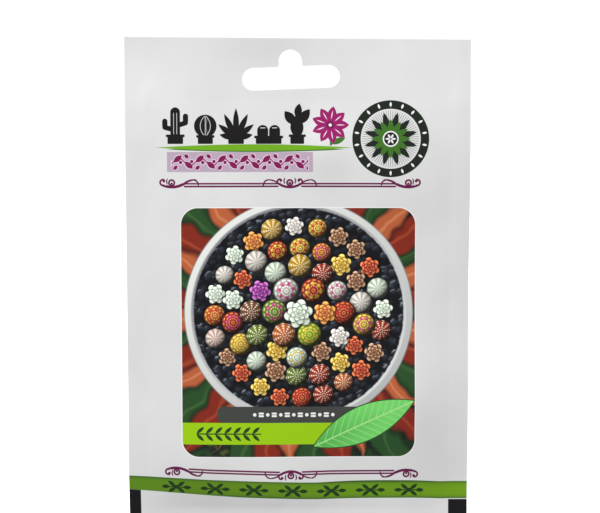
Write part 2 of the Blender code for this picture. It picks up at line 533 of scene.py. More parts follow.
def petals(spot, centre, count, turn, root, tip, half_width):
    """A ring of petals round a centre: one petal, repeated by folding the angle."""
    b = spot.bench
    arm = spot.vector("SUBTRACT", (*centre, 0))
    reach = arm.length()
    angle = b.math("ARCTAN2", arm.dot((0, 1, 0)), arm.dot((1, 0, 0))) + math.radians(turn)
    angle = b.math("PINGPONG", angle, math.pi / count)
    p = b.point(reach * angle.math("COSINE"), reach * angle.math("SINE"))
    return leaf(p, (root, 0), (tip, 0), half_width)


def joined(*shapes):
    """All of several shapes."""
    return functools.reduce(lambda whole, shape: whole.math("MINIMUM", shape), shapes)


def shared(*shapes):
    """Where all of several shapes lie."""
    return functools.reduce(lambda whole, shape: whole.math("MAXIMUM", shape), shapes)


def without(shape, hole):
    return shared(shape, -hole)


NEAR_BLACK = (0.008, 0.0065, 0.007)
MAGENTA = (0.290, 0.009, 0.120)
PLUM = (0.125, 0.007, 0.062)
LEAF_GREEN = (0.150, 0.370, 0.012)
DEEP_GREEN = (0.045, 0.150, 0.018)
PAPER_WHITE = (0.82, 0.82, 0.82)
SCROLL_GAIN = 0.05


def scrollwork(spot):
    """A divider: twin rules that end in scrolls, with a ring and curls in the middle. Its own middle is the
    origin, it faces up, and it is folded down its middle, so each scroll is drawn once."""
    across = spot.x()
    p = spot.bench.point(abs(across), across.of("Y"))
    return joined(
        bar(p, (4.1, 0.56), (33.9, 0.56), 0.22),
        bar(p, (3.9, -0.30), (34.0, -0.34), 0.23),
        # The middle: a ring with its dot, a bracket and a curl beside it, the swag below and the hook.
        ring(p, (0, 0.87), 0.88, 0.26),
        disc(p, (0.05, 0.72), 0.36),
        arc(p, (0.72, 1.45), 1.15, 0, 42, 0.17),
        disc(p, (2.90, 1.62), 0.42),
        arc(p, (3.25, 1.22), 0.76, 5, 118, 0.25),
        arc(p, (0, 5.77), 6.32, -90, 33, 0.36),
        arc(p, (6.75, -2.89), 4.64, 110, 21, 0.20),
        arc(p, (6.88, 0.10), 1.65, 40, 52, 0.20),
        # The ends: the hook, its long fall, a ring with its dot, a bracket and the last curl.
        arc(p, (31.0, 0.30), 1.40, 138, 52, 0.20),
        arc(p, (31.0, -3.17), 4.87, 72, 19, 0.30),
        arc(p, (38.1, 7.20), 7.70, -97, 27, 0.40),
        ring(p, (38.2, 0.85), 0.88, 0.25),
        disc(p, (38.2, 0.62), 0.32),
        arc(p, (38.70, 1.25), 1.12, 2, 42, 0.16),
        disc(p, (40.7, 1.42), 0.42),
        arc(p, (41.0, 0.95), 0.92, 0, 118, 0.25),
    ) - SCROLL_GAIN


# --------------------------------------------------------------------------------------------------
# The header print: a frieze of potted succulents on a green ground line, a magenta blossom, a running vine,
# a round rosette badge and the upper scrollwork divider. All are plain stock ornaments.

GROUND = 33.4
COLUMN = (  # Each stroke of the tall cactus, its stem and then its arms: its ends and its half width.
    ((16.0, 23.3), (16.0, 31.0), 1.55),
    ((12.7, 26.2), (12.7, 27.6), 0.85),
    ((12.7, 28.1), (15.5, 28.9), 0.80),
    ((19.3, 24.6), (19.3, 26.2), 0.85),
    ((19.3, 26.7), (16.4, 27.6), 0.80),
)
COLUMN_CLEFTS = (((15.5, 23.6), (15.5, 30.2), 0.08), ((16.5, 23.6), (16.5, 30.2), 0.08))
SPRAY_ROOT, SPRAY_HALF_WIDTH = (35.4, 31.6), 0.95
# Each leaf of the spray: how many degrees it leans, and its reach.
SPRAY = ((-78, 5.4), (-52, 7.2), (-26, 8.6), (0, 9.6), (26, 8.6), (52, 7.2), (78, 5.4))
PADS = (  # Each pad of the prickly pear: its root, its tip and its half width.
    ((55.0, 32.0), (54.6, 24.2), 2.1),
    ((55.2, 27.2), (58.9, 22.4), 1.5),
    ((54.4, 27.4), (50.9, 23.0), 1.5),
    ((54.8, 25.4), (55.6, 20.6), 1.2),
)
# The other pots: the middle, half width and height of each.
POTS = ((25.6, 2.9, 2.4), (35.4, 3.0, 2.5), (45.8, 4.6, 2.2), (54.9, 2.7, 2.6))
STEM_ROOT, STEM_HALF_WIDTH = (65.6, 33.6), 0.32
BLOSSOM, BADGE = (65.4, 27.4), (84.6, 31.8)
BADGE_DARK, BADGE_RAY = (0.011, 0.016, 0.011), (0.16, 0.18, 0.16)
VINE_MIDDLE, VINE_HALF = (36.6, 39.15), (23.3, 3.2)
VINE_BEND, VINE_SWAY, VINE_HALO_WIDTH = 3.55, 1.25, 0.28
VINE_GROUND, VINE_HALO, BERRY = (0.44, 0.345, 0.425), (0.72, 0.56, 0.70), (0.195, 0.008, 0.080)
DIVIDER_ACROSS, DIVIDER_DOWN, DIVIDER_SHARE = 52.5, 46.65, 1.011


def pot(spot, middle, half_width, height):
    """A straight pot with a broader rim, standing on the ground line."""
    rim = plate(spot, (middle, GROUND - height), (half_width, 0.42), 0.2)
    tub = plate(spot, (middle, GROUND - height / 2), (half_width - 0.5, height / 2), 0.3)
    return joined(rim, tub)


def frieze(spot):
    """The row of dark plants, with pale lines for their ribs and clefts."""
    column = joined(*(bar(spot, *stroke) for stroke in COLUMN), pot(spot, 16.0, 3.0, 2.6))
    column = without(column, joined(*(bar(spot, *cleft) for cleft in COLUMN_CLEFTS)))
    ball = without(
        disc(spot, (25.6, 27.7), 3.6),
        joined(
            bar(spot, (25.6, 24.6), (25.6, 31.0), 0.10),
            arc(spot, (28.1, 27.7), 4.1, 180, 48, 0.09),
            arc(spot, (23.1, 27.7), 4.1, 0, 48, 0.09),
            arc(spot, (34.0, 27.7), 8.1, 180, 20, 0.03),
        ),
    )
    spray = []
    for lean, reach in SPRAY:
        out, up = reach * math.sin(math.radians(lean)), reach * math.cos(math.radians(lean))
        spray.append(leaf(spot, SPRAY_ROOT, (SPRAY_ROOT[0] + out, SPRAY_ROOT[1] - up), SPRAY_HALF_WIDTH))
    stones = without(
        joined(plate(spot, (43.9, 29.7), (1.75, 2.3), 1.7), plate(spot, (47.7, 29.7), (1.75, 2.3), 1.7)),
        joined(bar(spot, (43.2, 28.3), (44.6, 28.3), 0.12), bar(spot, (47.0, 28.3), (48.4, 28.3), 0.12)),
    )
    pads = joined(*(leaf(spot, *pad) for pad in PADS))
    pots = joined(*(pot(spot, *sizes) for sizes in POTS))
    return joined(column, ball, *spray, stones, pads, pots)


def vine(b):
    """A running stem with a leaf, a bud and a berry in each bend. Every second bend is upside down."""
    along = b.across - (VINE_MIDDLE[0] - 6 * VINE_BEND)
    turn = (along / (2 * VINE_BEND)).math("FRACT").math("GREATER_THAN", 0.5) * 2 - 1
    p = b.spot((along / VINE_BEND).math("FRACT") * VINE_BEND, (b.down - VINE_MIDDLE[1]) * turn)
    stem = b.down - VINE_MIDDLE[1] + VINE_SWAY * (along * (math.pi / VINE_BEND)).math("SINE")
    stem = abs(stem) * 0.75 - 0.20
    growth = joined(
        stem,
        leaf(p, (0.1, -0.1), (2.7, 2.1), 0.85),
        leaf(p, (1.3, -1.1), (0.1, -2.5), 0.60),
        disc(p, (2.35, -0.15), 0.55),
    )
    return shared(growth, plate(b.spot(), VINE_MIDDLE, (VINE_HALF[0] - 1.5, VINE_HALF[1]), 0.1))


def header_print():
    b = Film("header_print")
    spot = b.spot()
    b.ink(DEEP_GREEN, leaf(spot, (13.0, 35.1), (70.0, 35.1), 0.85))
    b.ink(LEAF_GREEN, leaf(spot, (9.5, 34.55), (72.5, 34.55), 1.05))
    b.ink(NEAR_BLACK, frieze(spot))

    stem = bar(spot, BLOSSOM, STEM_ROOT, STEM_HALF_WIDTH)
    b.ink(DEEP_GREEN, joined(stem, leaf(spot, (65.6, 33.4), (70.2, 31.4), 0.9)))
    b.ink(MAGENTA, petals(spot, BLOSSOM, 9, 0, 0.4, 6.0, 1.45))
    b.ink(PAPER_WHITE, petals(spot, BLOSSOM, 9, 0, 1.9, 4.6, 0.14))
    b.ink(PLUM, disc(spot, BLOSSOM, 1.15))
    b.ink(PAPER_WHITE, disc(spot, BLOSSOM, 0.5))

    growth = vine(b)
    b.ink(VINE_GROUND, plate(spot, VINE_MIDDLE, VINE_HALF, 0.3))
    b.ink(VINE_HALO, growth - VINE_HALO_WIDTH)
    b.ink(BERRY, growth)

    b.ink(BADGE_DARK, without(disc(spot, BADGE, 12.2), disc(spot, BADGE, 9.5)))
    b.ink(PAPER_WHITE, petals(spot, BADGE, 18, 10, 10.1, 11.7, 0.34))
    b.ink(BADGE_RAY, shared(petals(spot, BADGE, 72, 0, -3.0, 14.0, 0.09), disc(spot, BADGE, 9.0)))
    b.ink(BADGE_DARK, petals(spot, BADGE, 12, 15, 1.4, 8.6, 1.02))
    b.ink(DEEP_GREEN, petals(spot, BADGE, 12, 0, 0.5, 6.3, 0.95))
    b.ink(PAPER_WHITE, disc(spot, BADGE, 2.5))
    b.ink(BADGE_DARK, disc(spot, BADGE, 2.1))
    b.ink(PAPER_WHITE, petals(spot, BADGE, 6, 0, 0.2, 1.7, 0.3))

    b.ink(PLUM, scrollwork(b.spot((b.across - DIVIDER_ACROSS) * DIVIDER_SHARE, DIVIDER_DOWN - b.down)))
    return b.finish()


# --------------------------------------------------------------------------------------------------
# The picture print: a round white bowl on a wreath of broad leaves, planted in rings with rosettes and
# little cacti on black gravel, a dark and a lime stripe across the picture's foot, and one green leaf.

PANEL_MIDDLE, PANEL_HALF, PANEL_CORNER, PANEL_RIM = (55.1, 94.2), (37.5, 40.3), 5.4, 0.28
BOWL, BOWL_OUTER, BOWL_INNER = (55.2, 87.6), 36.6, 33.8
SUN = (-0.62, -0.78, 0)
SHADOW, SHADOW_REACH, SHADOW_EDGE = (0.002, 0.002, 0.003), 0.35, 0.7
GLAZE_SHADED, GLAZE_LIT = (0.34, 0.36, 0.36), (0.74, 0.75, 0.72)
WALL_LIT, WALL_SHADED, BOWL_SHADOW = (0.66, 0.67, 0.67), (0.22, 0.23, 0.25), (0.16, 0.17, 0.18)
UNDERGROWTH = (  # Where each colour of the ground behind the bowl starts to show, and that colour.
    (0.30, (0.006, 0.016, 0.010)),
    (0.45, (0.018, 0.055, 0.014)),
    (0.58, (0.011, 0.013, 0.016)),
    (0.66, (0.060, 0.090, 0.014)),
)
WREATH_LEAVES, WREATH_ROOT, WREATH_MIDRIB, WREATH_SHADE = 13, 24.0, 0.35, (0.004, 0.006, 0.005)
WREATH = (  # Each fan of leaves: its colour, its midribs' colour, its turn in degrees, reach, half width.
    ((0.019, 0.068, 0.018), (0.050, 0.130, 0.035), 0, 62.0, 6.2),
    ((0.210, 0.020, 0.009), (0.360, 0.060, 0.025), 9, 58.0, 4.6),
    ((0.440, 0.105, 0.038), (0.600, 0.220, 0.100), 17, 50.0, 3.2),
)
STONE_DARK, STONE_LIT, STONE_GLINT = (0.004, 0.005, 0.007), (0.042, 0.050, 0.070), (0.30, 0.34, 0.40)
STONE_WIDTH, STONE_DEPTH = 2.7, 2.3


def backdrop(b, spot):
    """Behind the bowl, a little out of focus: a wreath of green, rust and clay-red leaves on dark soil."""
    colour = b.node("ShaderNodeValToRGB", {"stops": UNDERGROWTH}, {0: b.noise(spot, 7.5, 2.0, 0.55)})
    wavy = b.stirred(spot, 9.0, 7.0)
    for tint, midrib, turn, reach, half_width in WREATH:
        blades = petals(wavy, BOWL, WREATH_LEAVES, turn, WREATH_ROOT, reach, half_width)
        colour = b.lay(colour, WREATH_SHADE, blades - 0.9, 1.4)
        colour = b.lay(colour, tint, blades, 0.7)
        midribs = petals(wavy, BOWL, WREATH_LEAVES, turn, WREATH_ROOT, reach - 1, WREATH_MIDRIB)
        colour = b.lay(colour, midrib, midribs, 0.5)
    return colour


def gravel(b, spot):
    """Small black stones, each with a cold glint on its sunny side."""
    grit = b.stirred(spot, 1.4, 1.5).vector("MULTIPLY", (1 / STONE_WIDTH, 1 / STONE_DEPTH, 0))
    stone = b.node("ShaderNodeTexVoronoi", {"voronoi_dimensions": "2D"}, {"Vector": grit, "Scale": 1.0})
    side = grit.vector("SUBTRACT", stone.of("Position")).dot(SUN)
    luck = stone.of("Color").red()
    body = ((0.62 - stone) * 1.6).clamped() * (0.25 + 0.5 * luck + side * 0.9)
    glint = ((side - 0.13) * 9).clamped() * ((0.46 - stone) * 9).clamped() * luck**3
    colour = b.mix(STONE_DARK, STONE_LIT, body.clamped())
    return b.mix(colour, STONE_GLINT, glint * 0.8)


SKINS = (  # Where each colour starts, the colour of the body, and that of its flecks and tips.
    (0.00, (0.62, 0.58, 0.53), (0.84, 0.80, 0.74)),
    (0.12, (0.52, 0.15, 0.045), (0.86, 0.46, 0.10)),
    (0.25, (0.30, 0.42, 0.035), (0.56, 0.64, 0.10)),
    (0.31, (0.36, 0.045, 0.025), (0.78, 0.23, 0.08)),
    (0.44, (0.56, 0.66, 0.54), (0.82, 0.88, 0.74)),
    (0.55, (0.22, 0.095, 0.050), (0.60, 0.40, 0.25)),
    (0.66, (0.56, 0.34, 0.045), (0.86, 0.68, 0.20)),
    (0.76, (0.28, 0.040, 0.27), (0.56, 0.20, 0.54)),
    (0.80, (0.62, 0.44, 0.40), (0.76, 0.22, 0.14)),
    (0.88, (0.17, 0.24, 0.045), (0.48, 0.55, 0.20)),
)
BLOOMS = ((0.0, (0.80, 0.56, 0.08)), (0.40, (0.58, 0.045, 0.030)), (0.72, (0.62, 0.075, 0.25)))
WOOL, UNLIT = (0.84, 0.80, 0.66), (0.0, 0.0, 0.0)
WHORLS = (1.0, 0.74, 0.49, 0.25)
BALLS_FROM, CUSHIONS_FROM = 0.48, 0.72
RING_SIZES = ("Count", "Radius", "Girth", "Luck")
RINGS = (  # Each ring of plants: how many, its radius, their girth, and the luck of its draw.
    (24, 27.3, 3.60, 0.3),
    (18, 20.9, 3.70, 1.9),
    (12, 14.7, 3.90, 2.6),
    (6, 8.3, 4.50, 5.2),
    (1, 0.0, 5.60, 4.4),
)


def planted_ring():
    """A group that draws a ring of small succulents round the origin, none quite in its place: rosettes,
    ribbed balls and knobbly cushions in flower, in mixed colours. It gives their colour and their shape."""
    inputs = dict.fromkeys(("Across", "Down", *RING_SIZES), "Float")
    b = new_group("planted_ring", "ShaderNodeTree", inputs, {"Colour": "Color", "Shape": "Float"})
    given = b.node("NodeGroupInput", out="Across")
    count, luck = given.of("Count"), given.of("Luck")
    step = math.tau / count
    number = ((b.math("ARCTAN2", given.of("Down"), given) + luck) / step).math("ROUND")
    seed = number.math("FLOORED_MODULO", count) + 100 * luck
    kind = b.node("ShaderNodeTexWhiteNoise", {"noise_dimensions": "1D"}, {"W": seed}, "Color").red()
    hue, turn = kind.of("Green"), kind.of("Blue") * math.tau

    # Where a point is from the middle of its plant, in shares of the plant's girth.
    bearing = (number + 0.08 * ((kind * 13).math("FRACT") - 0.5)) * step - luck
    away = given.of("Radius") + 1.6 * ((hue * 17).math("FRACT") - 0.5)
    size = given.of("Girth") * (0.84 + 0.16 * (hue * 29).math("FRACT"))
    x = (given - away * bearing.math("COSINE")) / size
    y = (given.of("Down") - away * bearing.math("SINE")) / size
    share = (x * x + y * y).math("SQRT")
    angle = b.math("ARCTAN2", y, x) + turn
    sunny = x * SUN[0] + y * SUN[1]
    dome = (1 - share**2).clamped() ** 0.5

    def picked(stops, place):
        ramp = b.node("ShaderNodeValToRGB", {"stops": stops}, {0: place})
        ramp.socket.node.color_ramp.interpolation = "CONSTANT"
        return ramp

    body = picked([(start, skin) for start, skin, _ in SKINS], hue)
    tips = picked([(start, tip) for start, _, tip in SKINS], hue)

    # A rosette: whorls of six pointed leaves, each whorl set between the leaves of the one under it.
    rosette_lit, blush, rims = 0.0, 0.0, []
    for whorl, reach in enumerate(WHORLS):
        fan = abs((angle * 3 + whorl * math.pi / 2).math("COSINE"))
        rims.append(reach * (0.66 + 0.34 * fan**0.7))
        depth = share / rims[-1]
        cover = ((1 - depth) * 14).clamped()
        under = 1 - 0.75 * ((1.20 - depth) * 6).clamped()
        leaf_lit = (0.35 + 0.65 * fan) * (0.42 + 0.62 * depth)
        tip = ((depth - 0.70) * 5).clamped() * ((fan - 0.55) * 3).clamped()
        rosette_lit = rosette_lit * under + cover * (leaf_lit - rosette_lit * under)
        blush = blush + cover * (tip - blush)
    rosette = b.mix(body, tips, blush)
    rosette_lit = rosette_lit * (0.90 + 0.45 * sunny)

    # A ribbed ball with dots of wool along its ribs, and a cushion of knobs with a crown of little flowers.
    lit = 0.60 * dome + 0.66 * sunny
    rib = abs((angle * 5).math("SINE"))
    wool = ((rib - 0.80) * 7).clamped() * (((share * 5).math("FRACT") - 0.45) * 6).clamped()
    ball = b.mix(body, WOOL, wool)
    ball_lit = lit * (0.40 + 0.65 * rib)
    row = share * 4.2
    knob = abs((angle * 6 + row.math("FLOOR") * (math.pi / 2)).math("SINE"))
    knob = knob * (row * math.pi).math("SINE") ** 2
    cushion = b.mix(body, tips, ((knob - 0.45) * 5).clamped())
    cushion_lit = lit * (0.55 + 0.65 * knob)
    fold = b.math("PINGPONG", angle, math.pi / 7)
    crown = (share * fold.math("COSINE") - 0.56) ** 2 + (share * fold.math("SINE")) ** 2
    crown = crown.math("SQRT") - 0.15
    bloom = picked(BLOOMS, (hue * 41).math("FRACT"))
    cushion = b.mix(cushion, bloom, (0.5 - crown * 10).clamped())

    is_ball, is_cushion = kind.math("GREATER_THAN", BALLS_FROM), kind.math("GREATER_THAN", CUSHIONS_FROM)
    colour = b.mix(b.mix(rosette, ball, is_ball), cushion, is_cushion)
    light = rosette_lit + is_ball * (ball_lit - rosette_lit) + is_cushion * (cushion_lit - ball_lit)
    outline = rims[0] + is_ball * (1 - rims[0])
    light = (light * 1.45 + 0.12) * (0.35 + 0.65 * ((outline - share) * 8).clamped() ** 0.5)
    colour = b.mix(UNLIT, colour, light.math("MAXIMUM", 0.03), clamp=False)
    b.node("NodeGroupOutput", None, {"Colour": colour, "Shape": (share - outline) * size})
    return b.tree


def planting(b):
    """The plants in the bowl, ring by ring inwards, and the shadow that each ring throws on the last."""
    kit = {"node_tree": planted_ring()}
    place = {"Across": b.across - BOWL[0], "Down": b.down - BOWL[1]}
    colour, shapes = SHADOW, []
    for sizes in RINGS:
        plants = b.node("ShaderNodeGroup", kit, place | dict(zip(RING_SIZES, sizes)), "Colour")
        shapes.append(plants.of("Shape"))
        colour = b.lay(colour, SHADOW, shapes[-1] - SHADOW_REACH, SHADOW_EDGE)
        colour = b.lay(colour, plants, shapes[-1])
    return colour, joined(*shapes)


STRIPE_DARK, STRIPE_LIME, SPRIG_GREEN = (0.050, 0.054, 0.048), (0.295, 0.540, 0.004), (0.016, 0.050, 0.012)
DARK_STRIPE_DOWN, PEARLS_FROM, PEARL_PITCH = 120.7, 41.0, 2.1
LIME_STRIPE_DOWN, SPRIG_DOWN, SPRIGS_FROM, SPRIG_PITCH = 126.9, 127.0, 22.0, 3.0
BLADE_ROOT, BLADE_TIP, BLADE_HALF_WIDTH = (60.0, 131.2), (92.3, 116.0), 5.6
BLADE_SHADE, BLADE_DARK, BLADE_LIT = (0.020, 0.060, 0.016), (0.050, 0.330, 0.050), (0.160, 0.600, 0.130)
BLADE_RIB, RIB_PITCH, RIB_HALF_WIDTH, MIDRIB_HALF_WIDTH = (0.34, 0.70, 0.24), 2.6, 0.12, 0.22


def stripes(b, spot):
    """The stripes, each with its own running ornament, and the leaf that covers their ends."""
    dark = plate(spot, (54.0, DARK_STRIPE_DOWN), (25.0, 2.65), 1.8)
    lime = plate(spot, (40.0, LIME_STRIPE_DOWN), (30.0, 3.55), 0.1)
    pearls = b.math("PINGPONG", b.across - PEARLS_FROM, PEARL_PITCH)
    pearls = b.spot(pearls, abs(b.down - DARK_STRIPE_DOWN))
    pearls = joined(disc(pearls, (0, 0), 0.55), plate(pearls, (2.1, 0.42), (0.85, 0.30), 0.28))
    pearls = shared(pearls, plate(spot, (53.6, DARK_STRIPE_DOWN), (13.4, 2.2), 0.1))
    colour = b.lay(STRIPE_DARK, PAPER_WHITE, pearls)
    colour = b.lay(colour, STRIPE_LIME, lime)
    sprig = ((b.across - SPRIGS_FROM) / SPRIG_PITCH).math("FRACT") * SPRIG_PITCH
    sprig = b.spot(sprig, abs(b.down - SPRIG_DOWN))
    stalk = bar(spot, (22.3, SPRIG_DOWN), (43.0, SPRIG_DOWN), 0.2)
    sprig = joined(stalk, leaf(sprig, (0.15, 0.1), (2.6, 2.3), 0.55))
    colour = b.lay(colour, SPRIG_GREEN, shared(sprig, plate(spot, (32.5, SPRIG_DOWN), (10.5, 3.0), 0.1)))

    blade = leaf(spot, BLADE_ROOT, BLADE_TIP, BLADE_HALF_WIDTH)
    run = np.subtract(BLADE_TIP, BLADE_ROOT) / math.dist(BLADE_TIP, BLADE_ROOT)
    beside = (-run[1], run[0])
    beside = abs(spot.dot((*beside, 0)) - float(np.dot(BLADE_ROOT, beside)))
    along = spot.dot((*run, 0)) - float(np.dot(BLADE_ROOT, run))
    ribs = abs(((along - 0.9 * beside) / RIB_PITCH).math("FRACT") - 0.5) * RIB_PITCH - RIB_HALF_WIDTH
    green = b.mix(BLADE_DARK, BLADE_LIT, (0.15 + along / 34 + beside * 0.05).clamped())
    colour = b.lay(colour, BLADE_SHADE, blade - 0.35, 0.3)
    colour = b.lay(colour, green, blade)
    colour = b.lay(colour, BLADE_RIB, shared(joined(beside - MIDRIB_HALF_WIDTH, ribs), blade + 0.2))
    return colour, joined(dark, lime, blade - 0.35)


def picture_print():
    b = Film("picture_print")
    spot = b.spot()
    picture = backdrop(b, spot)

    # The bowl: its glazed rim, lit from the upper left, then the gravel and the plants.
    slope = spot.vector("SUBTRACT", (*BOWL, 0)).dot(SUN) / BOWL_OUTER
    glaze = b.mix(GLAZE_SHADED, GLAZE_LIT, (0.62 + 0.45 * slope).clamped())
    inner_wall = b.mix(WALL_LIT, WALL_SHADED, (0.5 + 0.6 * slope).clamped())
    picture = b.lay(picture, BOWL_SHADOW, disc(spot, BOWL, BOWL_OUTER + 0.2), 0.3)
    picture = b.lay(picture, glaze, disc(spot, BOWL, BOWL_OUTER), 0.2)
    picture = b.lay(picture, inner_wall, disc(spot, BOWL, BOWL_INNER + 0.8), 0.3)
    stones = gravel(b, spot)
    picture = b.lay(picture, stones, disc(spot, BOWL, BOWL_INNER + 0.6 * b.noise(spot, 1.6) - 0.3), 0.2)
    plants, beds = planting(b)
    picture = b.lay(picture, SHADOW, beds - SHADOW_REACH, SHADOW_EDGE)
    picture = b.lay(picture, plants, beds)
    picture = b.lay(picture, *stripes(b, spot))

    panel = plate(spot, PANEL_MIDDLE, PANEL_HALF, PANEL_CORNER)
    b.ink(PAPER_WHITE, panel - PANEL_RIM)
    b.ink(picture, panel)
    return b.finish()


# --------------------------------------------------------------------------------------------------
# The foot print: the lower divider, a green band with a row of small dark sprigs, and the two black marks
# that line up the film on the packing machine. The film was drawn a little high at both sides as it was
# sealed.

BAND_TOP, BAND_BOTTOM, BAND_RISE = 143.57, 149.3, 1.1
BAND_EDGE, BAND_GREEN, BAND_SPRIG = (0.022, 0.080, 0.014), (0.150, 0.315, 0.008), (0.012, 0.040, 0.008)
FOOT_DIVIDER_DOWN, FOOT_DIVIDER_ACROSS = 140.60, 52.6
ROW_DOWN, ROW_FROM, ROW_PITCH, ROW_MIDDLE = 146.6, 15.4, 6.3, 53.2
LEFT_MARK_TO, RIGHT_MARK_FROM, MARK_BLACK = 3.75, 103.9, (0.006, 0.005, 0.007)


def foot_print(name):
    b = Film(name)
    straight = b.down

    def hump(middle, reach, height):
        return height * (1 - ((b.across - middle) / reach) ** 2).clamped()

    # How far the film was drawn up here: most of all at the left edge.
    bowed = 0.35 + 2.2 * ((57 - b.across) / 57).clamped() ** 1.3 - 0.25 * ((b.across - 92) / 10).clamped()
    bowed = bowed + hump(45, 18, 0.22)
    swell = hump(81, 20, 0.40)
    b.down = straight + bowed + 0.58 * ((b.across - 50) / 15).clamped()
    aside = b.across - FOOT_DIVIDER_ACROSS
    drawn_in = aside * 1.021 + 0.012 * aside.math("MINIMUM", 0)
    b.ink(PLUM, scrollwork(b.spot(drawn_in, b.down - FOOT_DIVIDER_DOWN)))

    b.down = straight + bowed + swell
    lower = BAND_BOTTOM - BAND_RISE * ((35 - b.across) / 35).clamped()
    upper = BAND_TOP - 0.7 * swell
    depth = ((b.down - BAND_TOP) / (BAND_BOTTOM - BAND_TOP)).clamped()
    middle = (1 - abs(depth * 2 - 1) ** 5) * (0.62 + b.across / 300)
    green = b.mix(BAND_EDGE, BAND_GREEN, middle)
    b.ink(green, shared(upper - b.down, b.down - lower))

    p = b.spot(b.math("PINGPONG", b.across - ROW_FROM, ROW_PITCH), b.down)
    sprigs = joined(
        bar(p, (0, ROW_DOWN), (3.6, ROW_DOWN), 0.17),
        leaf(p, (0.2, ROW_DOWN - 0.1), (2.7, ROW_DOWN - 2.0), 0.58),
        leaf(p, (0.2, ROW_DOWN + 0.1), (2.7, ROW_DOWN + 2.0), 0.58),
        leaf(p, (2.1, ROW_DOWN), (4.9, ROW_DOWN), 0.65),
        disc(p, (0, ROW_DOWN), 0.7),
    )
    b.ink(BAND_SPRIG, shared(sprigs, plate(b.spot(), (ROW_MIDDLE, ROW_DOWN), (42.5, 4.0), 0.1)))

    left_mark = shared(b.across - LEFT_MARK_TO, lower - b.down)
    right_mark = shared(RIGHT_MARK_FROM - b.across, lower + 0.3 - b.down)
    b.ink(MARK_BLACK, joined(left_mark, right_mark))
    return b.finish()


# --------------------------------------------------------------------------------------------------
# The back print: the two dividers again, and between them a thin green frame with ruled lines, left
# unlettered.

BACK_DIVIDER_DOWN = 34.0
FRAME_HALF_WIDTH, RULE_HALF_WIDTH, RULE_INK = 0.35, 0.12, (0.20, 0.24, 0.19)
RULES, RULE_PITCH, RULE_MARGIN = 11, 6.6, 5.0


def back_header_print():
    b = Film("back_header_print")
    b.ink(PLUM, scrollwork(b.spot(b.across - DIVIDER_ACROSS, BACK_DIVIDER_DOWN - b.down)))
    return b.finish()


def back_panel_print():
    b = Film("back_panel_print")
    spot = b.spot()
    b.ink(LEAF_GREEN, abs(plate(spot, PANEL_MIDDLE, PANEL_HALF, PANEL_CORNER)) - FRAME_HALF_WIDTH)
    rules = b.math("PINGPONG", b.down - PANEL_MIDDLE[1] + RULE_PITCH * RULES / 2, RULE_PITCH / 2)
    rules = abs(rules) - RULE_HALF_WIDTH
    written = plate(spot, PANEL_MIDDLE, (PANEL_HALF[0] - RULE_MARGIN, RULE_PITCH * (RULES - 0.5) / 2), 0.1)
    b.ink(RULE_INK, shared(rules, written))
    return b.finish()


# --------------------------------------------------------------------------------------------------
# The webs themselves: each is cut, shaped and printed. The outer skin is plain film at the top, and below
# that it takes the print in three bands, each a material of its own. The inside and the edges are plain.

HEADER_FROM, PICTURE_FROM, FOOT_FROM = 18.4 * MM, 49.6 * MM, 136.8 * MM
SHARP = math.radians(40)
# Each island of the UV map: its lower left corner and its scale.
OUTER_ISLAND, INNER_ISLAND = ((0.01, 0.01), (0.97, 0.97)), ((0.70, 0.01), (0.24, 0.24))
EDGE_ISLAND, EDGE_SPREAD = ((0.72, 0.45), (0.2, 0.3)), 0.002


def gather(items, name, kind, width=1):
    """One value of each of a mesh's items, as an array with a row for each item."""
    values = np.empty(len(items) * width, kind)
    items.foreach_get(name, values)
    return values.reshape(-1, width) if width > 1 else values


def dress(web, surfaces):
    """Gives the outer faces their prints, by how far down they lie."""
    mesh = web.data
    mesh.materials.clear()
    for surface in (PLAIN, *surfaces):
        mesh.materials.append(surface)
    places = gather(mesh.vertices, "co", np.float32, 3)
    outer = gather(mesh.attributes["outer"].data, "value", bool)
    corner = gather(mesh.loops, "vertex_index", np.int32)
    sizes = gather(mesh.polygons, "loop_total", np.int32)
    face_of = np.repeat(np.arange(len(sizes)), sizes)

    down = TOP - np.bincount(face_of, places[corner, 2]) / sizes
    prints = np.searchsorted((HEADER_FROM, PICTURE_FROM, FOOT_FROM), down)
    mesh.polygons.foreach_set("material_index", np.where(outer, prints, 0).astype(np.int32))
    mesh.polygons.foreach_set("use_smooth", np.ones(len(sizes), bool))
    mesh.set_sharp_from_angle(angle=SHARP)
    return face_of, outer, places[corner]


def lay_out(web, face_of, outer, places):
    """The UV map: the outer skin large, the inner skin small beside it, and the cut edge along one side."""
    mesh = web.data
    share = ((places - (LEFT, 0, BOTTOM)) / HEIGHT)[:, ::2]
    normals = gather(mesh.polygons, "normal", np.float32, 3)
    edge = ~outer & (abs(normals[:, 1]) < 0.5)

    def island(corner, scale):
        return np.array(corner) + np.array(scale) * share

    spread = EDGE_SPREAD * (places[:, 1:2] / FILM)
    uv = np.where(outer[face_of, None], island(*OUTER_ISLAND), island(*INNER_ISLAND))
    uv = np.where(edge[face_of, None], island(*EDGE_ISLAND) + spread, uv)
    mesh.uv_layers.new(name="OFBake").uv.foreach_set("vector", uv.astype(np.float32).ravel())


def printed_web(name, side, bulge, dents, surfaces):
    """Cuts a web, shapes it and prints it."""
    web = flat_web(name, side)
    run_tree(web, POUCH, Side=float(side), Bulge=bulge, Film=FILM, Ripple=RIPPLE, Pucker=PUCKER, Dent=DENT,
             Dent_seed=dents, Surface=PLAIN)
    lay_out(web, *dress(web, surfaces))
    return web


POUCH = pouch_tree()
prints = header_print(), picture_print(), foot_print("foot_print")
front = printed_web("printed_front", FRONT, FRONT_BULGE, FRONT_DENTS, prints)
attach(front, "root")
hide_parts("front_web")

